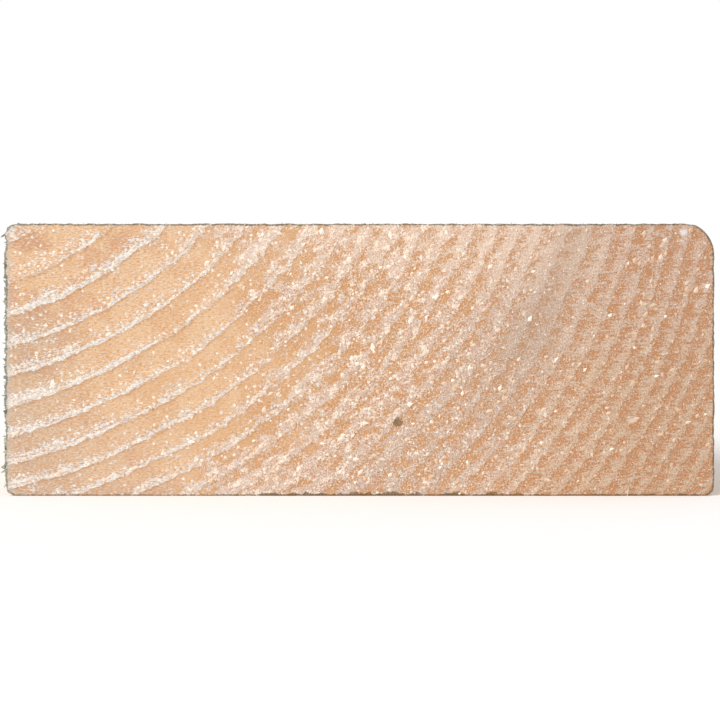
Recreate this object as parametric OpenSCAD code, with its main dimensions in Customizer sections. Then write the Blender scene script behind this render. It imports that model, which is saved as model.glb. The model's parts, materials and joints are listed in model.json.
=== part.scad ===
// Softwood plank, planed on both broad faces and one edge and resawn on the other edge.
// The plank lies flat: X runs across its width towards the planed edge, Y along its grain and Z up.
// The origin is at the middle of its underside. All sizes are in millimetres.

/* [Plank] */
// Length along the grain
plank_l = 1200; // [300:10:6000]
// Width across the broad faces
plank_w = 99; // [40:1:300]
// Thickness between the broad faces
plank_t = 38; // [18:1:75]

/* [Arrises] */
// Radius of the upper arris on the planed edge
planed_top_r = 4.0; // [0.5:0.1:8]
// Radius of the lower arris on the planed edge
planed_bottom_r = 1.4; // [0.5:0.1:8]
// Radius of the upper arris on the sawn edge
sawn_top_r = 1.2; // [0.5:0.1:8]
// Radius of the lower arris on the sawn edge
sawn_bottom_r = 1.5; // [0.5:0.1:8]

/* [Hidden] */

// How far a cutter reaches past the surface that it cuts
cut_past = 1;
// Facets of a full circle of an arris
arris_fn = 96;

// The waste outside a rounded arris whose sharp corner is at the origin and whose wood fills +X, +Y
module arris_waste(r) {
    difference() {
        translate([-cut_past, -cut_past])
            square(r + cut_past);
        translate([r, r])
            circle(r, $fn = arris_fn);
    }
}

// Places a corner cutter at the edge on side_x (-1 sawn, 1 planed) and the face on side_y (-1 under, 1 top)
module at_corner(side_x, side_y) {
    translate([side_x * plank_w / 2, (1 + side_y) * plank_t / 2])
        mirror([side_x > 0 ? 1 : 0, 0])
            mirror([0, side_y > 0 ? 1 : 0])
                children();
}

// Cross-section of the plank: the blank with its four arrises rounded, each to its own radius
module plank_section() {
    difference() {
        translate([-plank_w / 2, 0])
            square([plank_w, plank_t]);
        at_corner(1, 1) arris_waste(planed_top_r);
        at_corner(1, -1) arris_waste(planed_bottom_r);
        at_corner(-1, 1) arris_waste(sawn_top_r);
        at_corner(-1, -1) arris_waste(sawn_bottom_r);
    }
}

// The whole plank, cut square at both ends
module plank() {
    color("burlywood")
        rotate([90, 0, 0])
            linear_extrude(plank_l, center = true)
                plank_section();
}

plank();
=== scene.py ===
# Softwood plank: sawn end grain with torn fibres, planed faces and one resawn edge.
# Sizes are in millimetres unless a name or a comment says metres; the frame itself is in metres.
import json
import math

import bmesh
import bpy
import numpy as np
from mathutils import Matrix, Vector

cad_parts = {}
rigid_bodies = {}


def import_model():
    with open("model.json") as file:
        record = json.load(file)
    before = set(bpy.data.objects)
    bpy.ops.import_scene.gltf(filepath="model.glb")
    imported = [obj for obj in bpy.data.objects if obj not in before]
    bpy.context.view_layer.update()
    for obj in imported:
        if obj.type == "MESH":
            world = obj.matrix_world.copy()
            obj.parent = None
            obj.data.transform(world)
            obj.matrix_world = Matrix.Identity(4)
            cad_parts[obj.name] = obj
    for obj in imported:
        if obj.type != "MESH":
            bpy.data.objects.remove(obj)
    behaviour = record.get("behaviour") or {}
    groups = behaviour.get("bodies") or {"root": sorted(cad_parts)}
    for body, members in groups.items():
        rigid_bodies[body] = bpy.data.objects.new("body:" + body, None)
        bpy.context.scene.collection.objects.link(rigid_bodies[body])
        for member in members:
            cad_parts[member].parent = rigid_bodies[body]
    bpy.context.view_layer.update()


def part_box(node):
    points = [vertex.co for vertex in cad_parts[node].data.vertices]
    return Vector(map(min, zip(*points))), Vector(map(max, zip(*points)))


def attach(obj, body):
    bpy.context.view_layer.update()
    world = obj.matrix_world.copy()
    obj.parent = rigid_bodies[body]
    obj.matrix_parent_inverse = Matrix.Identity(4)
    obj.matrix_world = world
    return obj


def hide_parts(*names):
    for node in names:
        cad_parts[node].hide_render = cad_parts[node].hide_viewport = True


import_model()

MM = 0.001
SQUARE_MM_IN_SQUARE_M = 1e6
low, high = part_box("plank")
WIDTH = (high.x - low.x) / MM
THICK = (high.z - low.z) / MM
LENGTH = (high.y - low.y) / MM
FRONT_Y = low.y / MM
BACK_Y = high.y / MM

# Arris radii of the section, as the solid has them
PLANED_TOP_R = 4.0
PLANED_BOTTOM_R = 1.4
SAWN_TOP_R = 1.2
SAWN_BOTTOM_R = 1.5

# The tree that the plank was cut from: its pith lies outside, above the sawn edge
PITH_X = -62.6
PITH_Z = 73.4
MEAN_BEARING = 0.7

# A drop of dried resin on the front end
RESIN_X = 5.3
RESIN_Z = 10.3

# A pale bruise near the rounded arris of the front end
BRUISE_X = 45.2
BRUISE_Z = 36.9

# Centre of the saw blade that cut the ends, and about how far from it they were cut
SAW_X = 54.0
SAW_Z = -78.0
SAW_REACH = 100.0

# Spacing of the planer's knife marks along the plank
KNIFE_PITCH = 5.5

# On the ends, noise changes along the plank at this share of its pace across the section
DEPTH_SHARE = 0.2

SEED = 11


def linear(red, green, blue):
    """A colour given in the 0 to 255 steps of a picture, as the linear colour that a shader takes."""
    steps = [c / 255 for c in (red, green, blue)]
    return (*[c / 12.92 if c <= 0.04045 else ((c + 0.055) / 1.055) ** 2.4 for c in steps], 1.0)


# Node trees

class Value:
    """A number, vector or colour in a node tree. Arithmetic on it adds the nodes that work the result out."""

    def __init__(self, tree, socket):
        self.tree = tree
        self.socket = socket

    def calc(self, operation, *others):
        """What a Math node makes of this number and others."""
        return add_node(self.tree, "ShaderNodeMath", dict(enumerate((self, *others))), operation=operation)

    def __add__(self, other):
        return self.calc("ADD", other)

    def __sub__(self, other):
        return self.calc("SUBTRACT", other)

    def __mul__(self, other):
        return self.calc("MULTIPLY", other)

    def __truediv__(self, other):
        return self.calc("DIVIDE", other)

    def __rsub__(self, other):
        return (self * -1) + other

    __rmul__ = __mul__

    def step(self, start, end, low=0.0, high=1.0):
        """Eases from low to high while this value goes from start to end, up or down."""
        inputs = dict(enumerate((self, start, end, low, high)))
        return add_node(self.tree, "ShaderNodeMapRange", inputs, interpolation_type="SMOOTHSTEP")

    def between(self, a, b):
        """a where this value is 0 and b where it is 1."""
        return self.calc("MULTIPLY_ADD", b - a, a)

    def parts(self):
        """The three parts of a vector."""
        first = add_node(self.tree, "ShaderNodeSeparateXYZ", {0: self})
        return [first.beside(name) for name in ("X", "Y", "Z")]

    def scaled(self, factor):
        """This vector times a number."""
        return add_node(self.tree, "ShaderNodeVectorMath", {0: self, "Scale": factor}, operation="SCALE")

    def beside(self, output):
        """Another output of the node that this value comes from."""
        return Value(self.tree, self.socket.node.outputs[output])


def join(tree, item, slot):
    """Links a value to a socket, or sets the socket to a constant."""
    if isinstance(item, Value):
        tree.links.new(item.socket, slot)
    else:
        slot.default_value = item


def add_node(tree, kind, inputs, output=0, **options):
    """Adds a node, joins its inputs and returns one of its outputs. Sockets go by name or number."""
    node = tree.nodes.new(kind)
    for option, choice in options.items():
        setattr(node, option, choice)
    for slot, item in inputs.items():
        join(tree, item, node.inputs[slot])
    return Value(tree, node.outputs[output])


def vector(x, y, z):
    """A vector of three values, of which one at least is in a tree."""
    tree = next(v.tree for v in (x, y, z) if isinstance(v, Value))
    return add_node(tree, "ShaderNodeCombineXYZ", {"X": x, "Y": y, "Z": z})


def vector_sum(first, second):
    """The sum of two vectors."""
    return add_node(first.tree, "ShaderNodeVectorMath", {0: first, 1: second}, operation="ADD")


def noise(place, scale, detail, roughness=0.5):
    """Smooth noise from 0 to 1, mostly near a half."""
    inputs = {"Vector": place, "Scale": scale, "Detail": detail, "Roughness": roughness}
    return add_node(place.tree, "ShaderNodeTexNoise", inputs)


def swing(place, gain, scale, detail, roughness=0.5):
    """Smooth noise about zero, up to about half of gain either way."""
    return (noise(place, scale, detail, roughness) - 0.5) * gain


def scramble(place, scale, detail):
    """Two independent smooth noises about zero."""
    first, second, _ = noise(place, scale, detail).beside("Color").parts()
    return first - 0.5, second - 0.5


def cells(place, scale):
    """Scattered spots: the distance to the nearest one, and a random number of that spot."""
    far = add_node(place.tree, "ShaderNodeTexVoronoi", {"Vector": place, "Scale": scale}, "Distance")
    luck = add_node(place.tree, "ShaderNodeSeparateColor", {0: far.beside("Color")})
    return far, luck


def by_chance(number):
    """A random number from 0 to 1 for each whole number."""
    return add_node(number.tree, "ShaderNodeTexWhiteNoise", {"W": number}, "Value", noise_dimensions="1D")


def blend(share, under, over):
    """The colour under where share is 0 and over where it is 1."""
    return add_node(share.tree, "ShaderNodeMix", {0: share, 6: under, 7: over}, 2, data_type="RGBA")


def new_group(name, kind, inputs, outputs):
    """An empty node group with its sockets. Returns the group, its inputs and its outputs by name."""
    tree = bpy.data.node_groups.new(name, kind)
    for label, socket_type in inputs:
        tree.interface.new_socket(label, in_out="INPUT", socket_type=socket_type)
    for label, socket_type in outputs:
        tree.interface.new_socket(label, in_out="OUTPUT", socket_type=socket_type)
    start = tree.nodes.new("NodeGroupInput")
    end = tree.nodes.new("NodeGroupOutput")
    given = {label: Value(tree, start.outputs[label]) for label, _ in inputs}
    wanted = {label: end.inputs[label] for label, _ in outputs}
    return tree, given, wanted


def place_group(tree, group, position):
    """Puts a group that works on a position in metres in a tree, and returns its outputs by name."""
    node = tree.nodes.new(tree.bl_idname.replace("Tree", "Group"))
    node.node_tree = group
    join(tree, position, node.inputs["Position"])
    return {output.name: Value(tree, output) for output in node.outputs}


# Growth rings and zones of the cut

RING_SOCKETS = ("Radius", "Arc", "Phase", "Late wood", "Ring tone")


def growth_rings(kind):
    """Group that gives, at any place in the plank, where in its tree's growth rings that place lies.

    Phase runs from 0 at the inner side of a ring to 1 at the sharp outer side of its late wood.
    Along the trunk the pith wanders and slowly rises, so the long faces show drawn-out grain.
    """
    tree, given, wanted = new_group(
        "growth rings " + kind,
        kind + "NodeTree",
        [("Position", "NodeSocketVector")],
        [(label, "NodeSocketFloat") for label in RING_SOCKETS],
    )
    x, y, z = given["Position"].scaled(1 / MM).parts()
    # The pith sways by a few millimetres along the plank, and the rings round it aren't quite circles
    run = y - FRONT_Y
    across = x - PITH_X - 7.0 * (run / 520).calc("SINE")
    down = (PITH_Z - z) - 6.0 * (run / 330).calc("SINE") + run * 0.006
    bearing = across.calc("ARCTAN2", down) - MEAN_BEARING
    oval = ((bearing * 0.114 + 0.007) * bearing - 0.024) * bearing + 1
    wobble_place = vector(x, y * 0.06, z)
    wobble = swing(wobble_place, 1.2, 0.08, 1.0) + swing(wobble_place, 0.4, 0.4, 2.0)
    radius = (across * across + down * down).calc("SQRT") * oval + wobble

    # Rings counted outwards: they narrow with age, and good and poor years swing about that
    count = (radius * 0.00126 + 0.0966) * radius - 5.93
    count = count + 0.174 * (radius * 0.1137 + 4.498).calc("SINE")
    count = count - 0.096 * (radius * 0.1868 + 6.177).calc("SINE")
    ring = count.calc("FLOOR")
    phase = count - ring
    late = phase * 0.3 + 0.7 * phase.step(0.5, 0.84)
    results = (radius, radius * bearing, phase, late, by_chance(ring))
    for label, value in zip(RING_SOCKETS, results):
        join(tree, value, wanted[label])
    return tree


shader_rings = growth_rings("Shader")
shape_rings = growth_rings("Geometry")


def tear(x):
    """How torn the cut is: clean near the sawn edge, torn from the middle on."""
    return x.step(-32, 4)


def fine_side(x):
    """The side with narrow rings, where the tearing is fine."""
    return x.step(6, 36)


def away(x, z, spot_x, spot_z):
    """Distance in the section from a spot."""
    run_x = x - spot_x
    run_z = z - spot_z
    return (run_x * run_x + run_z * run_z).calc("SQRT")


def slanted(x, deep, z, degrees, stretch):
    """Place for noise that is drawn out in the section along a line at an angle to the underside."""
    turn = math.radians(degrees)
    along = x * math.cos(turn) + z * math.sin(turn)
    across = z * math.cos(turn) - x * math.sin(turn)
    return vector(along * stretch, deep, across)


def saw_place(x, z):
    """Place on the arcs that the saw blade drew across the end, from the blade's own centre."""
    turn = (x - SAW_X).calc("ARCTAN2", z - SAW_Z)
    return away(x, z, SAW_X, SAW_Z), turn * SAW_REACH


# Materials

def new_material(name):
    """A material with its Principled shader. Returns the material, its tree, shader and place in metres."""
    material = bpy.data.materials.new(name)
    material.use_nodes = True
    tree = material.node_tree
    return material, tree, tree.nodes["Principled BSDF"], add_node(tree, "ShaderNodeTexCoord", {}, "Object")


def attribute(tree, name):
    """A number that the mesh holds."""
    return add_node(tree, "ShaderNodeAttribute", {}, "Fac", attribute_name=name)


def dress(tree, shader, colour, height, roughness, specular, depth):
    """Gives a shader its colour, its constants and fine relief, where a height of 1 is depth millimetres."""
    join(tree, colour, shader.inputs["Base Color"])
    shader.inputs["Roughness"].default_value = roughness
    shader.inputs["Specular IOR Level"].default_value = specular
    relief = {"Strength": 1.0, "Distance": depth * MM, "Height": height}
    join(tree, add_node(tree, "ShaderNodeBump", relief, "Normal"), shader.inputs["Normal"])


class EndCut:
    """A spot on a cut end: where it lies, how torn it is there, and the noises that its look is made of."""

    def __init__(self, tree, position):
        x, y, z = position.scaled(1 / MM).parts()
        deep = y * DEPTH_SHARE
        flat = vector(x, deep, z)
        self.x, self.y, self.z, self.deep, self.flat = x, y, z, deep, flat
        self.edge = attribute(tree, "edge_mm")

        # How the saw left the wood there: clean or torn, and whether in fine lines
        drift = noise(flat, 0.09, 2.0) - 0.5
        torn = tear(x + drift * 30 + z.step(15, 3) * 7 + z.step(28, 36) * 4)
        fine = fine_side(x + drift * 16)
        self.torn, self.fine = torn, fine

        # The rings, with borders that are more ragged where the wood is torn
        push_x, push_z = scramble(flat, 0.9, 3.0)
        shove = torn.between(0.85, 1.6)
        moved = vector(x + push_x * shove, y, z + push_z * shove)
        rings = place_group(tree, shader_rings, moved.scaled(MM))
        self.radius, self.arc = rings["Radius"], rings["Arc"]

        # Noises: three along the rings, two slanted, two fine ones, saw streaks and scratches.
        # A number added to x keeps a noise apart from the others.
        self.fluff = swing(self.ring_place(1.0, 0.5), 3.0, 1.0, 3.0, 0.6)
        self.hairs = swing(self.ring_place(1.0, 0.12), 3.0, 2.6, 2.0, 0.6)
        self.patch = swing(self.ring_place(0.3, 0.7), 3.0, 1.0, 2.0)
        self.dash = swing(slanted(x, deep, z, 30, 0.5), 3.2, 0.95, 3.0)
        self.cluster = swing(slanted(x + 13, deep, z, 35, 0.6), 3.0, 1.2, 2.0)
        self.grit = swing(flat, 2.6, 2.8, 2.0, 0.6)
        drawn = swing(slanted(x + 31, deep, z, 3, 0.4), 2.6, 5.0, 1.0)
        self.dust = torn.between(drawn, swing(vector(x + 31, y, z), 2.6, 5.0, 1.0))
        self.saw_reach, saw_arc = saw_place(x, z)
        self.streak = swing(vector(self.saw_reach, saw_arc * 0.07, deep), 2.6, 2.4, 2.0)
        self.scratch = swing(slanted(x, deep, z, 4, 0.2), 3.0, 3.0, 2.0, 0.6)

        # Tearing drags the fibre sideways and so breaks the rings up
        drag = fine.between(self.dash * torn * 0.22, self.scratch * 0.18)
        self.phase = (rings["Phase"] + drag).calc("FRACT")

        # The outer part of a ring: its speckled half, its solid late wood and that wood's clean outer lip
        self.speckled = self.phase.step(0.3, 0.85)
        self.solid = (self.phase - rings["Ring tone"] * 0.1).step(0.72, 0.9)
        self.lip = self.phase.step(0.84, 0.92) * (1 - torn)

        # A calm place in the clean zone, and some weathered rings further out
        self.calm = away(x, z, -21, 15).step(5, 20, 0.2, 0.0)
        self.grey = self.radius.step(88, 97) * self.radius.step(110, 101)

    def ring_place(self, across, along):
        """Place for noise that follows the rings, with its pace across and along them."""
        return vector(self.radius * across, self.arc * along, self.deep)


def pale_share(cut):
    """How much pale late wood shows, from 0 to 1: what zone and ring favour, broken up by the noises."""
    x, z, torn, fine, radius = cut.x, cut.z, cut.torn, cut.fine, cut.radius
    speckled, solid, lip = cut.speckled, cut.solid, cut.lip
    saw_mark = (cut.saw_reach * 3.0 + swing(cut.flat, 9.0, 0.25, 2.0)).calc("SINE")
    fade = cut.grey * z.step(8, 24, -0.1, 0.2)

    # Clean zone: whole bands, fewer in the innermost rings and more towards the sawn edge and the underside
    young = radius.step(44, 54, 0.55, 0.0)
    uneven = swing(cut.ring_place(0.25, 0.12), 3.5, 1.0, 2.0)
    clean = speckled * 0.45 + solid * 0.7 - 0.9 + uneven - young * solid - cut.calm
    clean = clean + x.step(-47.0, -49.2) * 0.5 + lip * 0.25
    clean = clean + x.step(-28, -46) * radius.step(46, 56) * speckled * 0.42
    clean = clean - radius.step(46, 40) * 0.42
    clean = clean + z.step(22, 8) * x.step(-14, -30) * cut.phase.step(0.64, 0.8) * 0.4

    # Torn zone: patches, more of them towards the upper and lower edges
    coarse = speckled * 0.62 + solid * 0.12 - 0.22 + cut.patch * 0.3 + saw_mark * 0.06 + fade * 0.5
    coarse = coarse + z.step(28, 37) * 0.2 + z.step(14, 3) * x.step(14, 0) * 0.22
    half_torn = torn * (1 - torn) * z.step(25, 12)

    # Fine zone: narrow columns, with the saw's marks
    narrow = speckled * 0.9 + solid * 0.1 - 0.3 + cut.patch * 0.6 + saw_mark * 0.2 + fade
    narrow = narrow + z.step(25, 37) * x.step(38, 24) * 0.22 - x.step(34, 46) * 0.1
    bias = fine.between(torn.between(clean, coarse) + half_torn * 0.8, narrow)

    loose = 1 - lip * 0.6
    score = cut.fluff * fine.between(torn.between(loose, 0.4), 0.25)
    score = score + cut.dash * fine.between(torn * 0.9, 0.2)
    score = score + cut.grit * fine.between(torn.between(loose * 0.9, 0.4), 0.45)
    score = score + (cut.streak * 0.4 + cut.scratch) * fine + cut.hairs * lip * 0.7
    soft = fine.between(torn.between(0.33, 0.45), 0.58)
    return (score + bias).step(soft * -1, soft)


def early_wood(cut):
    """Colour of the early wood: honey brown, greyer towards the sawn edge and darker where it is torn."""
    x, z = cut.x, cut.z
    tone = noise(cut.flat, 0.22, 3.0, 0.6)
    colour = blend(tone.step(0.4, 0.56), linear(218, 182, 145), linear(213, 172, 132))
    colour = blend(cut.scratch.step(-0.1, -0.8) * 0.3, colour, linear(204, 156, 112))
    tinted = tone.step(0.5, 0.66) * x.step(-18, -40) * away(x, z, -24, 20).step(9, 20)
    colour = blend(tinted * 0.8, colour, linear(196, 150, 118))
    dark_foot = z.step(3.0, 0.6) * x.step(-18, -30)
    colour = blend(dark_foot * 0.6, colour, linear(188, 152, 126))
    grey_side = x.step(-34, -48) * z.step(30, 22)
    colour = blend(grey_side * 0.6, colour, linear(190, 164, 138))
    pale_corner = z.step(17, 4) * x.step(-18, -36)
    colour = blend(pale_corner * 0.5, colour, linear(201, 171, 143))
    colour = blend(cut.torn.step(0.2, 1.0) * 0.9, colour, linear(195, 144, 96))
    colour = blend(cut.fine, colour, linear(182, 131, 92))
    weathered = cut.grey * z.step(6, 24, 0.2, 0.5) * z.step(26, 35, 1.0, 0.3)
    return blend(weathered, colour, linear(180, 144, 116))


def late_wood(cut):
    """Colour of the pale late wood: ribbons where clean, tufts where torn and dull columns where fine."""
    tufted = (cut.cluster + cut.grit * 0.5 + cut.dust * 0.3).step(0.0, 0.55)
    tuft = blend(tufted, linear(204, 178, 160), linear(244, 227, 206))
    streaked = (cut.hairs * 0.7 + cut.grit * 0.5 + cut.dust * 0.4).step(-0.35, 0.4)
    ribbon = blend(streaked, linear(202, 183, 166), linear(232, 225, 216))
    column = blend(cut.z.step(12, 34), linear(197, 171, 146), linear(201, 177, 161))
    colour = blend(cut.fine, blend(cut.torn, ribbon, tuft), column)
    return blend(cut.grey * cut.z.step(24, 36, 0.7, 0.4), colour, linear(188, 168, 153))


def bright_chips(cut):
    """Where single bright chips of fibre lie, from 0 to 1."""
    x, z, speckled = cut.x, cut.z, cut.speckled
    far, luck = cells(vector(x + cut.dust * 0.3, cut.deep, z + cut.grit * 0.3), 1.7)
    margin = x.step(-36, -46) * z.step(10, 24) * 0.2 + x.step(-32, -24) * z.step(30, 35) * 0.15
    clean = speckled * 0.4 + cut.solid * 0.6 + margin + 0.02
    likely = cut.torn.between(clean, speckled * 0.15 + 0.15) * cut.fine.between(1.0, 0.3)
    return luck.calc("LESS_THAN", likely) * (far + cut.grit * 0.3).step(0.55, 0.2)


def fine_grain(cut, pale, bright, colour):
    """Lays the smallest marks over the colour: chips, painted shade in hollows, coloured grains, painted
    glints and painted shadows along the ring borders.
    """
    torn, fine, grit, dust = cut.torn, cut.fine, cut.grit, cut.dust
    colour = blend(bright * fine.between(0.9, 0.6), colour, linear(252, 240, 224))
    open_grain = 1 - cut.solid * (1 - torn) * pale * 0.8
    # Painted shade: dark brown specks where small pits in the torn fibre lie in shadow
    pit_shade = (dust * 0.8 + grit * 0.6).step(-0.1, -0.5) * torn.between(0.33, 0.9) * open_grain
    colour = blend(pit_shade * 0.75, colour, linear(171, 114, 73))
    orange = (dust - grit * 0.3).step(-0.05, -0.45) * fine.between(0.45, 0.42) * open_grain
    colour = blend(orange, colour, linear(204, 140, 88))
    straw = (dust * 0.7 + cut.cluster * 0.4).step(0.0, 0.5) * fine
    colour = blend(straw * 0.4, colour, linear(212, 180, 144))
    speck = blend(torn, linear(228, 224, 226), linear(240, 234, 228))
    speck = blend(fine, speck, linear(228, 214, 202))
    glint = (dust + grit * 0.3).step(0.05, 0.45) * fine.between(1.0, 0.9)
    glint = glint * torn.between(cut.speckled * 0.36 + 0.33 - cut.calm, 0.5)
    colour = blend(glint, colour, speck)
    # Painted shadow: a thin dark line at the start of each ring, where the raised late wood before it casts
    # shade
    line = cut.phase.step(0.14, 0.0) * torn.between(0.4, 0.15) * (cut.fluff + grit).step(0.3, -0.3)
    return blend(line, colour, linear(178, 120, 80))


def marks_and_painted_shading(cut, pale, colour):
    """Lays marks and painted light over the colour: a painted-light zone, darker towards the planed edge, a
    painted shade streak, a bruise, resin, a dark rim of painted arris shadow and soil, and painted shade in
    dents along the foot.
    """
    x, y, z, edge, grit = cut.x, cut.y, cut.z, cut.edge, cut.grit
    # Painted light: a paler zone in the upper torn part of the end
    lit = z.step(24, 37) * x.step(38, 24) * cut.torn * pale.between(0.04, 0.28)
    colour = blend(lit, colour, linear(246, 220, 196))
    # Darker towards the planed edge
    colour = blend(x.step(30, 44) * 0.12, colour, linear(150, 112, 86))
    # Painted shade: a darker grey streak that follows a few rings on the right of the end
    painted_shade_streak = cut.radius.step(96, 99) * cut.radius.step(104, 100.5) * z.step(13, 23)
    colour = blend(painted_shade_streak * (cut.patch * 0.1 + 0.25), colour, linear(164, 138, 118))

    on_front = y.calc("LESS_THAN", 0.0)
    bruise = (away(x, z, BRUISE_X, BRUISE_Z) + grit * 0.3).step(0.7, 0.25) * on_front
    colour = blend(bruise * 0.75, colour, linear(228, 222, 222))
    resin = (away(x, z, RESIN_X, RESIN_Z) + grit * 0.35).step(0.85, 0.45) * on_front
    colour = blend(resin * 0.85, colour, linear(130, 100, 68))

    haze = (edge + grit * 0.25).step(0.8, 0.1) * x.step(-46, -48)
    colour = blend(haze * 0.5, colour, linear(190, 180, 168))
    # Dark rim: painted shadow of the broken arris, with soil; weaker towards the planed edge and the foot
    rim = (edge + grit * 0.15 + cut.streak * 0.1).step(0.12, -0.02)
    rim = rim * x.step(38, 49, 0.85, 0.7) * z.step(0.3, 1.3, 0.35, 1.0)
    colour = blend(rim, colour, blend(x.step(-46, -48.5), linear(92, 91, 75), linear(124, 126, 111)))
    # Painted shade in small dents along the foot: dark brown patches at the underside's edge
    chip_depth = noise(vector(x * 0.35, y, z * 0.1), 1.0, 3.0, 0.6).step(0.42, 0.6)
    chip_depth = chip_depth * x.step(-22, -8) * x.step(12, 26, 0.55, 0.2)
    painted_dent_shade = (edge - chip_depth + grit * 0.1).step(0.06, -0.1) * z.step(1.0, 0.6)
    return blend(painted_dent_shade * 0.75, colour, linear(104, 82, 50))


def end_grain():
    """Cross-cut wood: smooth early wood, torn pale late wood, flecks, saw arcs and a dark rim of painted
    arris shadow and soil.
    """
    material, tree, shader, position = new_material("end grain")
    cut = EndCut(tree, position)
    pale = pale_share(cut)
    bright = bright_chips(cut)
    colour = blend(pale, early_wood(cut), late_wood(cut))
    colour = fine_grain(cut, pale, bright, colour)
    colour = marks_and_painted_shading(cut, pale, colour)
    height = pale * 0.35 + bright * 0.5 + (cut.grit + cut.dust) * 0.35 + cut.streak * cut.fine * 0.3
    dress(tree, shader, colour, height, roughness=0.85, specular=0.2, depth=0.13)
    return material


def long_grain():
    """Group that gives the colour and relief of wood along the grain, without the marks of its tools."""
    tree, given, wanted = new_group(
        "long grain",
        "ShaderNodeTree",
        [("Position", "NodeSocketVector")],
        [("Colour", "NodeSocketColor"), ("Relief", "NodeSocketFloat")],
    )
    rings = place_group(tree, shader_rings, given["Position"])
    x, y, z = given["Position"].scaled(1 / MM).parts()
    fibre = noise(vector(x, y * 0.012, z), 2.6, 3.0, 0.6)
    ragged = rings["Phase"] + (fibre - 0.5) * 0.5
    line = ragged.step(0.4, 0.92) * ragged.step(1.03, 0.97)
    cloud = noise(vector(x, y * 0.05, z), 0.06, 2.0)
    colour = blend(cloud.step(0.38, 0.62), linear(231, 200, 163), linear(222, 184, 142))
    strength = rings["Ring tone"].between(0.45, 0.95) * cloud.step(0.3, 0.6, 0.75, 1.0)
    colour = blend(line * strength, colour, linear(194, 139, 94))
    colour = blend(fibre.step(0.5, 0.68) * 0.4, colour, linear(240, 216, 184))
    hair = noise(vector(x + 17, y * 0.02, z), 6.0, 2.0, 0.6)
    colour = blend(hair.step(0.52, 0.68) * 0.22, colour, linear(198, 150, 108))
    pore = noise(vector(x, y * 0.05, z + 9), 4.0, 1.0).step(0.66, 0.72)
    colour = blend(pore * 0.45, colour, linear(160, 108, 66))
    join(tree, colour, wanted["Colour"])
    join(tree, line * 0.5 + fibre * 0.6 + hair * 0.5, wanted["Relief"])
    return tree


wood_along = long_grain()


def planed_face():
    """Planed wood with faint knife marks across it."""
    material, tree, shader, position = new_material("planed face")
    wood = place_group(tree, wood_along, position)
    _, y, _ = position.scaled(1 / MM).parts()
    knife = (y * (2 * math.pi / KNIFE_PITCH)).calc("SINE") * 0.12
    height = wood["Relief"] + knife
    dress(tree, shader, wood["Colour"], height, roughness=0.55, specular=0.25, depth=0.025)
    return material


def sawn_edge():
    """Resawn wood with the saw's lines across it and lifted fibre."""
    material, tree, shader, position = new_material("sawn edge")
    wood = place_group(tree, wood_along, position)
    x, y, z = position.scaled(1 / MM).parts()
    lines = noise(vector(x * 0.1, y + z * 0.1, z * 0.03), 0.5, 3.0, 0.65)
    fuzz = noise(vector(x, y * 0.12, z), 1.3, 4.0, 0.7)
    tuft = noise(vector(x + 5, y * 0.3, z), 2.2, 2.0, 0.6)
    colour = blend(fuzz.step(0.46, 0.62) * 0.6, wood["Colour"], linear(238, 218, 192))
    colour = blend(lines.step(0.5, 0.64) * 0.4, colour, linear(190, 146, 106))
    colour = blend(tuft.step(0.56, 0.68) * 0.5, colour, linear(246, 232, 212))
    colour = blend(tuft.step(0.44, 0.34) * 0.4, colour, linear(170, 124, 84))
    height = wood["Relief"] * 0.3 + lines * 1.4 + fuzz * 0.9 + tuft * 0.5
    dress(tree, shader, colour, height, roughness=0.9, specular=0.25, depth=0.35)
    return material


def torn_fibre():
    """Pale torn fibre that stands out of the end grain. Each tuft has its own tone."""
    material, tree, shader, position = new_material("torn fibre")
    place = position.scaled(1 / MM)
    x, _, _ = place.parts()
    tone = attribute(tree, "tone")
    colour = blend(tone.step(0.0, 0.6), linear(222, 184, 148), linear(234, 214, 194))
    colour = blend(tone.step(0.6, 1.0), colour, linear(255, 244, 228))
    colour = blend(fine_side(x) * tone.step(0.8, 0.92, 0.65, 0.1), colour, linear(208, 178, 150))
    grain = noise(place, 6.0, 2.0)
    colour = blend(grain.step(0.5, 0.7) * 0.4, colour, linear(214, 176, 142))
    dress(tree, shader, colour, grain, roughness=0.9, specular=0.15, depth=0.05)
    return material


def edge_splinter():
    """Fibre along the cut edges, grey-brown and uneven."""
    material, tree, shader, position = new_material("edge splinter")
    grain = noise(position.scaled(1 / MM), 3.0, 2.0)
    colour = blend(attribute(tree, "tone"), linear(104, 106, 92), linear(198, 190, 172))
    colour = blend(grain.step(0.5, 0.65) * 0.5, colour, linear(116, 112, 94))
    dress(tree, shader, colour, grain, roughness=0.9, specular=0.15, depth=0.05)
    return material


# The plank's mesh

# Usual spacing of points on the ends and along the sides
END_STEP = 0.42
SIDE_STEP = 30.0

# Width of the broken edge round each end
BROKEN_EDGE = 0.2

# Relief fades out this near the rim of an end, and this near the ends on the long sides
RELIEF_FADE = 0.7
SIDE_FADE = 8.0

# How far into an end the raggedness of its rim reaches, and where the sawn edge's share of it starts
RAGGED_REACH = 2.5
SAWN_RIM_X = -WIDTH / 2 + 2.8

END_GRAIN, PLANED, SAWN = 0, 1, 2
BOTTOM_SIDE, PLANED_SIDE, TOP_SIDE, SAWN_SIDE = 0, 1, 2, 3


def graded(length, first, growth, step):
    """Places along a length, close together at both ends and evenly spaced between."""
    near = [0.0]
    gap = first
    while gap < step:
        near.append(near[-1] + gap)
        gap *= growth
    count = max(1, round((length - 2 * near[-1]) / step))
    middle = np.linspace(near[-1], length - near[-1], count + 1)
    return np.concatenate([near[:-1], middle, [length - n for n in near[-2::-1]]])


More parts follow.
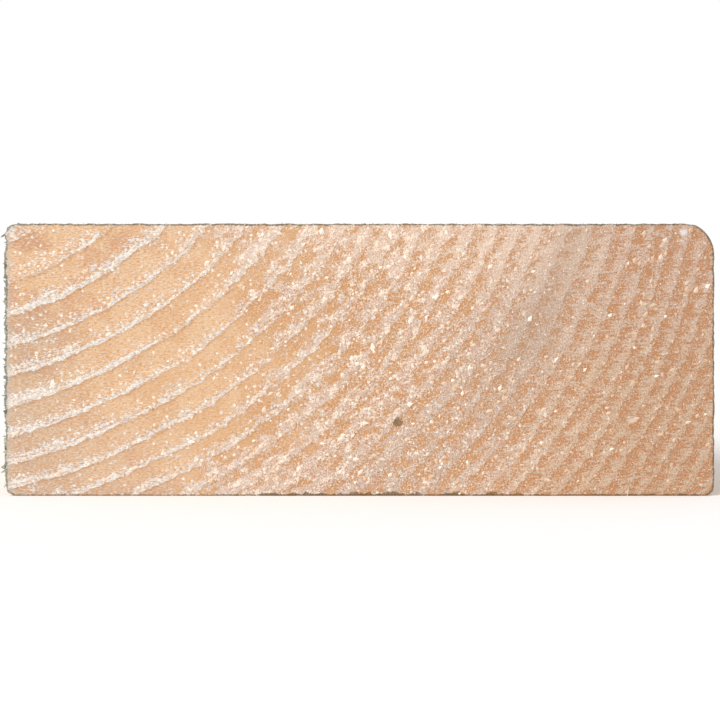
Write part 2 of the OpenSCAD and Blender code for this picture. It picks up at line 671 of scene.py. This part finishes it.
def inset_at(z, bottom_r, top_r):
    """How far the rounded arrises pull one edge of the section in, at each height."""
    below = np.clip(bottom_r - z, 0, bottom_r)
    above = np.clip(z - (THICK - top_r), 0, top_r)
    return bottom_r + top_r - np.sqrt(bottom_r**2 - below**2) - np.sqrt(top_r**2 - above**2)


def section_grid():
    """Points of the end face, rows from the underside up and columns from the sawn edge across."""
    share = graded(WIDTH, 0.12, 1.35, END_STEP) / WIDTH
    z = graded(THICK, 0.05, 1.35, END_STEP)
    left = -WIDTH / 2 + inset_at(z, SAWN_BOTTOM_R, SAWN_TOP_R)
    right = WIDTH / 2 - inset_at(z, PLANED_BOTTOM_R, PLANED_TOP_R)
    x = left[:, None] + share[None, :] * (right - left)[:, None]
    return x, np.repeat(z[:, None], len(share), axis=1)


def outline_of(index):
    """A grid's border, once round from the lower sawn corner, and the side that each of its points starts."""
    sides = {
        BOTTOM_SIDE: index[0, :-1],
        PLANED_SIDE: index[:-1, -1],
        TOP_SIDE: index[-1, :0:-1],
        SAWN_SIDE: index[:0:-1, 0],
    }
    kinds = [np.full(len(points), side) for side, points in sides.items()]
    return np.concatenate(list(sides.values())), np.concatenate(kinds)


def rim_distance(x, z, rim_x, rim_z):
    """How far each point of an end is from the nearest point of its rim, and which one that is."""
    gap = np.full(len(x), np.inf)
    nearest = np.zeros(len(x), int)
    for k in range(len(rim_x)):
        here = np.hypot(x - rim_x[k], z - rim_z[k])
        nearest[here < gap] = k
        gap = np.minimum(gap, here)
    return gap, nearest


def add_attribute(mesh, name, kind, values):
    """Stores one number or vector for each point of a mesh."""
    layer = mesh.attributes.new(name, kind, "POINT")
    key = "vector" if kind == "FLOAT_VECTOR" else "value"
    layer.data.foreach_set(key, np.ascontiguousarray(values, np.float32).ravel())


def plank_mesh():
    """The plank's mesh, in metres: two fine end faces, a broken edge round each, and the long sides."""
    x, z = section_grid()
    index = np.arange(x.size).reshape(x.shape)
    border, side = outline_of(index)
    x, z = x.ravel(), z.ravel()
    rim_x, rim_z = x[border], z[border]
    around = len(border)
    rings_y = FRONT_Y + BROKEN_EDGE + graded(LENGTH - 2 * BROKEN_EDGE, 0.4, 2.2, SIDE_STEP)
    levels = len(rings_y)

    # Points: the front end, rings along the sides, and the back end
    end_x = x * (1 - 2 * BROKEN_EDGE / WIDTH)
    end_z = THICK / 2 + (z - THICK / 2) * (1 - 2 * BROKEN_EDGE / THICK)
    front = np.stack([end_x, np.full_like(x, FRONT_Y), end_z], 1)
    back = np.stack([end_x, np.full_like(x, BACK_Y), end_z], 1)
    sides = np.stack([
        np.tile(rim_x, levels), np.repeat(rings_y, around), np.tile(rim_z, levels)
    ], 1)
    points = np.concatenate([front, sides, back])
    side_start = len(front)
    back_start = side_start + len(sides)

    # Faces, in the same order
    quads = np.stack([index[:-1, :-1], index[:-1, 1:], index[1:, 1:], index[1:, :-1]], -1).reshape(-1, 4)
    ring = side_start + np.arange(levels * around).reshape(levels, around)
    loops = np.concatenate([border[None], ring, back_start + border[None]])
    after = np.roll(loops, -1, axis=1)
    walls = np.stack([loops[:-1], loops[1:], after[1:], after[:-1]], -1)
    faces = np.concatenate([quads, walls.reshape(-1, 4), back_start + quads[:, ::-1]])
    wall_kind = np.repeat(np.where(side == SAWN_SIDE, SAWN, PLANED)[None], levels + 1, axis=0)
    wall_kind[[0, -1]] = END_GRAIN
    end_kind = np.full(len(quads), END_GRAIN)
    kinds = np.concatenate([end_kind, wall_kind.ravel(), end_kind])

    mesh = bpy.data.meshes.new("plank")
    mesh.from_pydata(points * MM, [], faces)
    mesh.polygons.foreach_set("material_index", kinds.astype(np.int32))
    mesh.polygons.foreach_set("use_smooth", np.ones(len(faces), bool))

    # What the relief and the materials read, for the front end, the sides and the back end
    run_x = np.roll(rim_x, -1) - np.roll(rim_x, 1)
    run_z = np.roll(rim_z, -1) - np.roll(rim_z, 1)
    out = np.stack([run_z, np.zeros(around), -run_x], 1)
    out /= np.linalg.norm(out, axis=1)[:, None]
    gap, nearest = rim_distance(x, z, rim_x, rim_z)
    rim_out = out[nearest] * np.clip(1 - gap / RAGGED_REACH, 0, 1)[:, None] ** 2
    side_out = np.tile(out, (levels, 1))
    facing = np.tile([0.0, -1.0, 0.0], (len(x), 1))
    fade = np.clip(gap / RELIEF_FADE, 0, 1)
    side_fade = np.clip((rings_y - FRONT_Y) / SIDE_FADE, 0, 1) * np.clip((BACK_Y - rings_y) / SIDE_FADE, 0, 1)
    on_sawn = np.tile(side == SAWN_SIDE, levels)
    side_none = np.zeros(len(sides))
    end_none = np.zeros(len(x))
    end_all = np.ones(len(x))
    for name, kind, on_front, on_sides, on_back in (
        ("edge_mm", "FLOAT", gap, side_none, gap),
        ("relief", "FLOAT", fade, np.repeat(side_fade, around), fade),
        ("outward", "FLOAT_VECTOR", facing, side_out, -facing),
        ("sideways", "FLOAT_VECTOR", rim_out, side_out, rim_out),
        ("end", "FLOAT", -end_all, side_none, end_all),
        ("sawn", "FLOAT", end_none, on_sawn, end_none),
    ):
        add_attribute(mesh, name, kind, np.concatenate([on_front, on_sides, on_back]))
    bake_layout(mesh, faces, points, len(quads), around, levels)
    return mesh


# Where each part of the surface lies in the square bake picture, in shares of its side
FRONT_PATCH = (0.015, 0.625, 0.95)
BACK_PATCH = (0.015, 0.44, 0.45)
SIDE_PATCH = (0.015, 0.015, 0.97, 0.41)


def add_layout(mesh, uv):
    """Stores the UV map named OFBake for baking."""
    layer = mesh.uv_layers.new(name="OFBake")
    layer.data.foreach_set("uv", uv.astype(np.float32).ravel())


def bake_layout(mesh, faces, points, end_faces, around, levels):
    """A UV map with most room for the front end, less for the back end and one strip for the long sides."""
    x = points[:, 0] / WIDTH + 0.5
    z = points[:, 2] / WIDTH

    def end_patch(corners, left, foot, size, flip):
        across = 1 - x[corners] if flip else x[corners]
        return np.stack([left + size * across, foot + size * z[corners]], -1)

    # An end takes its broken edge with it
    capped = end_faces + around
    uv = np.zeros((len(faces), 4, 2))
    uv[:capped] = end_patch(faces[:capped], *FRONT_PATCH, False)
    uv[-capped:] = end_patch(faces[-capped:], *BACK_PATCH, True)

    left, foot, long, tall = SIDE_PATCH
    walls = faces[capped:-capped]
    rim = points[walls[:around, 0]][:, [0, 2]]
    reach = np.concatenate([[0], np.cumsum(np.linalg.norm(np.roll(rim, -1, axis=0) - rim, axis=1))])
    v0 = np.tile(reach[:-1] / reach[-1], levels - 1)
    v1 = np.tile(reach[1:] / reach[-1], levels - 1)
    u = (points[walls][:, :, 1] - FRONT_Y) / LENGTH
    v = np.stack([v0, v0, v1, v1], 1)
    uv[capped:-capped] = np.stack([left + long * u, foot + tall * v], -1)
    add_layout(mesh, uv)


def end_layout(mesh):
    """A UV map for small pieces on the ends, seen straight on: the front end above the back end."""
    corners = np.empty(len(mesh.loops), np.int32)
    mesh.loops.foreach_get("vertex_index", corners)
    points = np.empty(len(mesh.vertices) * 3, np.float32)
    mesh.vertices.foreach_get("co", points)
    x, y, z = points.reshape(-1, 3)[corners].T / MM
    u = 0.02 + 0.96 * (x / WIDTH + 0.5)
    v = np.where(y < 0, 0.55, 0.05) + 0.96 * z / WIDTH
    add_layout(mesh, np.stack([u, v], 1))


# Geometry Nodes

def new_object(name, held):
    """An object at the origin that holds a mesh, a light or a camera."""
    made = bpy.data.objects.new(name, held)
    bpy.context.scene.collection.objects.link(made)
    return made


def shape_tree(name, inputs):
    """A Geometry Nodes tree with its named inputs. Returns the tree, its inputs and its geometry output."""
    sockets = [("Geometry", "NodeSocketGeometry")] + inputs
    tree, given, wanted = new_group(name, "GeometryNodeTree", sockets, [("Geometry", "NodeSocketGeometry")])
    return tree, given, wanted["Geometry"]


def grow(made, tree, values):
    """Runs a Geometry Nodes tree on an object with these inputs, and keeps the result as its plain mesh."""
    modifier = made.modifiers.new(tree.name, "NODES")
    modifier.node_group = tree
    for item in tree.interface.items_tree:
        if item.in_out == "INPUT" and item.name in values:
            modifier[item.identifier] = values[item.name]
    bpy.context.view_layer.update()
    graph = bpy.context.evaluated_depsgraph_get()
    grown = bpy.data.meshes.new_from_object(
        made.evaluated_get(graph), preserve_all_data_layers=True, depsgraph=graph
    )
    made.modifiers.remove(modifier)
    made.data = grown


def stored(tree, name, kind="FLOAT"):
    """A number or vector that the mesh holds, in a Geometry Nodes tree."""
    return add_node(tree, "GeometryNodeInputNamedAttribute", {"Name": name}, "Attribute", data_type=kind)


def position_of(tree):
    """The place of each point, in metres."""
    return add_node(tree, "GeometryNodeInputPosition", {})


# A Random Value node's first input and its output, by number, for each kind of value
RANDOM_SOCKETS = {"FLOAT_VECTOR": (0, 0), "FLOAT": (2, 1), "INT": (4, 2)}


def chance(tree, seed, low=0.0, high=1.0, kind="FLOAT"):
    """A random number or vector for each point."""
    first, output = RANDOM_SOCKETS[kind]
    inputs = {first: low, first + 1: high, "Seed": seed}
    return add_node(tree, "FunctionNodeRandomValue", inputs, output, data_type=kind)


def cut_relief():
    """Tree that raises the late wood and roughens the ends, and raises the grain of the long faces."""
    tree, given, result = shape_tree("cut relief", [
        ("Late wood height", "NodeSocketFloat"),
        ("Tear depth", "NodeSocketFloat"),
        ("Raised grain", "NodeSocketFloat"),
        ("Saw depth", "NodeSocketFloat"),
        ("Ragged sawn edge", "NodeSocketFloat"),
        ("Ragged planed edge", "NodeSocketFloat"),
    ])
    position = position_of(tree)
    rings = place_group(tree, shape_rings, position)
    x, y, z = position.scaled(1 / MM).parts()
    off_floor = z.step(0.05, 0.7)

    # Height of the surface, straight out of each face
    fluff = noise(vector(rings["Radius"], rings["Arc"] * 0.45, y * DEPTH_SHARE), 1.15, 4.0, 0.65) - 0.5
    end_height = rings["Late wood"] * given["Late wood height"] * tear(x).between(1.0, 0.25)
    end_height = end_height + fluff * tear(x) * given["Tear depth"]
    fuzz = noise(vector(x, y * 0.02, z), 0.8, 2.0, 0.6) - 0.5
    side_height = rings["Late wood"] * given["Raised grain"]
    side_height = stored(tree, "sawn").between(side_height, fuzz * given["Saw depth"])
    on_end = stored(tree, "end").calc("ABSOLUTE")
    height = on_end.between(side_height * off_floor, end_height) * stored(tree, "relief")

    # Raggedness of the rim, in the plane of the section
    burr = noise(vector(x, y * 0.03, z), 0.8, 3.0, 0.7).step(0.42, 0.62)
    on_sawn = x.step(SAWN_RIM_X, SAWN_RIM_X - 0.4)
    ragged = burr * off_floor * on_sawn.between(given["Ragged planed edge"], given["Ragged sawn edge"])
    offset = vector_sum(
        stored(tree, "outward", "FLOAT_VECTOR").scaled(height * MM),
        stored(tree, "sideways", "FLOAT_VECTOR").scaled(ragged * MM),
    )
    inputs = {"Geometry": given["Geometry"], "Offset": offset}
    join(tree, add_node(tree, "GeometryNodeSetPosition", inputs), result)
    return tree


def fleck_shape(name, seed, stretch, flatness):
    """An uneven flake of fibre with eight faces, about one long, lying in the plane z = 0."""
    rng = np.random.default_rng(seed)
    waist = [(1, 0, 0), (0, stretch, 0), (-1, 0, 0), (0, -stretch, 0)]
    tips = np.array(waist + [(0, 0, flatness), (0, 0, -flatness)])
    points = tips * 0.5 * rng.uniform(0.65, 1.3, (6, 1)) + rng.uniform(-0.06, 0.06, (6, 3))
    around = [(k, (k + 1) % 4) for k in range(4)]
    faces = [(a, b, 4) for a, b in around] + [(b, a, 5) for a, b in around]
    mesh = bpy.data.meshes.new(name)
    mesh.from_pydata(points.tolist(), [], faces)
    return mesh


def needle_shape(name, bend, width):
    """A bent three-sided fibre, one long, from the origin along X."""
    shape = bmesh.new()
    loops = []
    for along, lift, size in ((0.0, -0.05, 0.7), (0.5, bend, 1.0)):
        loop = []
        for turn in range(3):
            angle = 2 * math.pi * turn / 3
            across = width * size * math.cos(angle)
            up = lift + width * size * math.sin(angle)
            loop.append(shape.verts.new((along, across, up)))
        loops.append(loop)
    tip = shape.verts.new((1.0, 0.0, bend * 1.4))
    for turn in range(3):
        after = (turn + 1) % 3
        shape.faces.new((loops[0][turn], loops[0][after], loops[1][after], loops[1][turn]))
        shape.faces.new((loops[1][turn], loops[1][after], tip))
    shape.faces.new(loops[0][::-1])
    bmesh.ops.recalc_face_normals(shape, faces=shape.faces)
    mesh = bpy.data.meshes.new(name)
    shape.to_mesh(mesh)
    shape.free()
    return mesh


# How many small shapes a set holds, and how many of the splinters are needles
SET_SIZE = 6
NEEDLES = 2


def shape_set(name, meshes):
    """A collection of small shapes for a tree to pick from."""
    group = bpy.data.collections.new(name)
    for mesh in meshes:
        group.objects.link(bpy.data.objects.new(mesh.name, mesh))
    return group


def drop_set(group):
    """Removes a collection of small shapes once its instances are real."""
    for made in list(group.objects):
        bpy.data.objects.remove(made)
    bpy.data.collections.remove(group)


def scatter(tree, given, points, rotation, size, result):
    """Sets one of the shapes on each point, with a random tone, makes them real and ends the tree."""
    seed = given["Seed"]
    shapes = add_node(tree, "GeometryNodeCollectionInfo", {
        "Collection": given["Shapes"],
        "Separate Children": True,
        "Reset Children": True,
    })
    instances = add_node(tree, "GeometryNodeInstanceOnPoints", {
        "Points": points,
        "Instance": shapes,
        "Pick Instance": True,
        "Instance Index": chance(tree, seed + 3, 0, SET_SIZE - 1, "INT"),
        "Rotation": rotation,
        "Scale": size,
    })
    toned = add_node(tree, "GeometryNodeStoreNamedAttribute", {
        "Geometry": instances,
        "Name": "tone",
        "Value": chance(tree, seed + 4),
    }, domain="INSTANCE")
    real = add_node(tree, "GeometryNodeRealizeInstances", {"Geometry": toned})
    painted = add_node(tree, "GeometryNodeSetMaterial", {"Geometry": real, "Material": given["Finish"]})
    join(tree, painted, result)


def end_tufts():
    """Tree that scatters torn fibre over the ends, along the rings and thickest on torn late wood."""
    tree, given, result = shape_tree("end tufts", [
        ("Shapes", "NodeSocketCollection"),
        ("Per square mm", "NodeSocketFloat"),
        ("Clean share", "NodeSocketFloat"),
        ("Least size", "NodeSocketFloat"),
        ("Most size", "NodeSocketFloat"),
        ("Spread of turn", "NodeSocketFloat"),
        ("Seed", "NodeSocketInt"),
        ("Finish", "NodeSocketMaterial"),
    ])
    seed = given["Seed"]
    position = position_of(tree)
    late = place_group(tree, shape_rings, position)["Late wood"]
    x, _, z = position.scaled(1 / MM).parts()
    ends = add_node(tree, "GeometryNodeSeparateGeometry", {
        "Geometry": given["Geometry"],
        "Selection": stored(tree, "end").calc("ABSOLUTE").calc("GREATER_THAN", 0.8),
    }, domain="FACE")
    likely = tear(x).between(late.step(0.4, 1.0) * 0.5 + given["Clean share"], late * 0.35 + 0.35)
    likely = likely * fine_side(x).between(1.0, 0.7) * stored(tree, "edge_mm").step(0.1, 0.5)
    points = add_node(tree, "GeometryNodeDistributePointsOnFaces", {
        "Mesh": ends,
        "Density": likely * given["Per square mm"] * SQUARE_MM_IN_SQUARE_M,
        "Seed": seed,
    }, "Points")

    # Each lies along its ring, then turns and lifts a little by chance
    along_ring = add_node(tree, "FunctionNodeAlignRotationToVector", {
        "Rotation": points.beside("Rotation"),
        "Vector": vector(PITH_Z - z, 0.0, x - PITH_X),
    }, axis="X", pivot_axis="Z")
    turn = (chance(tree, seed + 1) - 0.5) * given["Spread of turn"]
    lift = chance(tree, seed + 5) * -0.3
    tilt = add_node(tree, "FunctionNodeEulerToRotation", {0: vector(0.0, lift, turn)})
    rotation = add_node(tree, "FunctionNodeRotateRotation", {0: along_ring, 1: tilt}, rotation_space="LOCAL")
    luck = chance(tree, seed + 2).calc("POWER", 6.0)
    size = luck.between(given["Least size"], given["Most size"]) * MM
    scatter(tree, given, points, rotation, size, result)
    return tree


def rim_splinters():
    """Tree that sets splinters along a rail of points, each pointing out from its edge."""
    tree, given, result = shape_tree("rim splinters", [
        ("Shapes", "NodeSocketCollection"),
        ("Least size", "NodeSocketFloat"),
        ("Most size", "NodeSocketFloat"),
        ("Seed", "NodeSocketInt"),
        ("Finish", "NodeSocketMaterial"),
    ])
    seed = given["Seed"]
    points = add_node(tree, "GeometryNodeMeshToPoints", {
        "Mesh": given["Geometry"],
        "Selection": chance(tree, seed).calc("LESS_THAN", stored(tree, "fuzz")),
    })
    jitter = chance(tree, seed + 1, (-0.9, -0.5, -0.9), (0.9, 0.3, 0.9), "FLOAT_VECTOR")
    aim = vector_sum(stored(tree, "outward", "FLOAT_VECTOR"), jitter)
    rotation = add_node(tree, "FunctionNodeAlignRotationToVector", {"Vector": aim}, axis="X")
    luck = chance(tree, seed + 2)
    size = (luck * luck * luck).between(given["Least size"], given["Most size"])
    scatter(tree, given, points, rotation, size * stored(tree, "reach") * MM, result)
    return tree


# Spacing of the rail's points and how far in from the end they lie
RAIL_STEP = 0.22
RAIL_INSET = 0.15

# Heights of single long splinters on the sawn edge, and how much longer than usual they are
LONE_SPLINTERS = (4.3, 7.8, 15.5, 28.8, 32.0)
LONE_REACH = 2.6

# Height of the rail along the foot, clear of the floor
FOOT_Z = 0.24


def rim_rail():
    """Points along the edges of both ends, with how likely and how long a splinter is there."""
    half = WIDTH / 2
    # Start and end of each edge, which way is out, and how likely and how long splinters are
    edges = (
        ((-half, SAWN_BOTTOM_R), (-half, THICK - SAWN_TOP_R), (-1, 0), 0.9, 1.1),
        ((-half + SAWN_TOP_R, THICK), (half - PLANED_TOP_R, THICK), (0, 1), 0.5, 0.36),
        ((half, PLANED_BOTTOM_R), (half, THICK - PLANED_TOP_R), (1, 0), 0.5, 0.3),
        ((-half + SAWN_BOTTOM_R, FOOT_Z), (half - PLANED_BOTTOM_R, FOOT_Z), (0, -1), 0.5, 0.25),
    )
    rail = [((-half, z), (-1, 0), 1.0, LONE_REACH) for z in LONE_SPLINTERS]
    for (x0, z0), (x1, z1), out, share, reach in edges:
        count = int(math.hypot(x1 - x0, z1 - z0) / RAIL_STEP)
        for k in range(count):
            t = (k + 0.5) / count
            rail.append(((x0 + t * (x1 - x0), z0 + t * (z1 - z0)), out, share, reach))
    ends = (FRONT_Y + RAIL_INSET, BACK_Y - RAIL_INSET)
    places, aims, shares, reaches = (np.repeat(column, len(ends), axis=0) for column in zip(*rail))
    along = np.tile(ends, len(rail))
    mesh = bpy.data.meshes.new("edge_splinters")
    mesh.from_pydata(np.stack([places[:, 0], along, places[:, 1]], 1) * MM, [], [])
    add_attribute(mesh, "outward", "FLOAT_VECTOR", np.stack([aims[:, 0], along * 0, aims[:, 1]], 1))
    add_attribute(mesh, "fuzz", "FLOAT", shares)
    add_attribute(mesh, "reach", "FLOAT", reaches)
    return mesh


# Stage

LENS = 85.0
SENSOR = 36.0
FRAME_PIXELS = 720
END_PIXELS = 708
FLOOR_RADIUS_M = 30.0
SKY_STRENGTH = 0.68
KEY_STRENGTH = 2.0
KEY_SPREAD = 22
KEY_TILT = 52
KEY_TURN = -36


def set_stage():
    """Pale floor, soft light from the upper left and a camera square to the front end."""
    scene = bpy.context.scene
    scene.view_settings.view_transform = "Standard"
    shape = bmesh.new()
    bmesh.ops.create_circle(shape, cap_ends=True, segments=96, radius=FLOOR_RADIUS_M)
    mesh = bpy.data.meshes.new("floor")
    shape.to_mesh(mesh)
    shape.free()
    floor = new_object("floor", mesh)
    material, tree, shader, position = new_material("pale floor")
    tone = noise(position, 0.8, 3.0)
    join(tree, blend(tone, (0.95, 0.95, 0.95, 1), (0.97, 0.97, 0.965, 1)), shader.inputs["Base Color"])
    shader.inputs["Roughness"].default_value = 0.9
    mesh.materials.append(material)

    # The sky lights softly and shows white behind the floor
    world = bpy.data.worlds.new("studio")
    scene.world = world
    world.use_nodes = True
    tree = world.node_tree
    sky = tree.nodes["Background"]
    level = add_node(tree, "ShaderNodeLightPath", {}, "Is Camera Ray").between(SKY_STRENGTH, 1.0)
    sky.inputs["Color"].default_value = (1, 1, 1, 1)
    join(tree, level, sky.inputs["Strength"])

    lamp = bpy.data.lights.new("key", "SUN")
    lamp.energy = KEY_STRENGTH
    lamp.angle = math.radians(KEY_SPREAD)
    key = new_object("key", lamp)
    key.rotation_euler = (math.radians(KEY_TILT), 0.0, math.radians(KEY_TURN))

    lens = bpy.data.cameras.new("camera")
    lens.lens = LENS
    lens.sensor_width = SENSOR
    lens.clip_start = 0.01
    camera = new_object("camera", lens)
    view_width = WIDTH * FRAME_PIXELS / END_PIXELS
    camera.location = (0.0, (FRONT_Y - view_width * LENS / SENSOR) * MM, THICK / 2 * MM)
    camera.rotation_euler = (math.pi / 2, 0.0, 0.0)
    scene.camera = camera


def finish_piece(piece, *nodes):
    """Ties a piece to the frame."""
    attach(piece, "root")
    if nodes:
        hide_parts(*nodes)


# The plank, its torn fibres and its splinters

set_stage()

plank = new_object("plank_timber", plank_mesh())
for finish in (end_grain(), planed_face(), sawn_edge()):
    plank.data.materials.append(finish)
grow(plank, cut_relief(), {
    "Late wood height": 0.13, "Tear depth": 0.6, "Raised grain": 0.02, "Saw depth": 0.3,
    "Ragged sawn edge": 0.32, "Ragged planed edge": 0.12,
})

flecks = shape_set("flecks", [
    fleck_shape("fleck_%d" % k, SEED + k, stretch=0.4 + 0.08 * k, flatness=0.35) for k in range(SET_SIZE)
])
tuft_piece = new_object("torn_fibres", plank.data.copy())
tuft_piece.data.materials.clear()
grow(tuft_piece, end_tufts(), {
    "Shapes": flecks, "Per square mm": 4.0, "Clean share": 0.02, "Least size": 0.22, "Most size": 1.15,
    "Spread of turn": 1.8, "Seed": SEED, "Finish": torn_fibre(),
})

needles = [
    needle_shape("needle_%d" % k, bend=0.04 + 0.05 * k, width=0.15) for k in range(NEEDLES)
]
burrs = [
    fleck_shape("burr_%d" % k, SEED + 10 + k, stretch=0.7, flatness=0.6)
    for k in range(SET_SIZE - NEEDLES)
]
splinters = shape_set("splinters", needles + burrs)
splinter_piece = new_object("edge_splinters", rim_rail())
grow(splinter_piece, rim_splinters(), {
    "Shapes": splinters, "Least size": 0.3, "Most size": 1.0, "Seed": SEED + 20, "Finish": edge_splinter(),
})

drop_set(flecks)
drop_set(splinters)
for piece in (tuft_piece, splinter_piece):
    end_layout(piece.data)

finish_piece(plank, "plank")
finish_piece(tuft_piece)
finish_piece(splinter_piece)
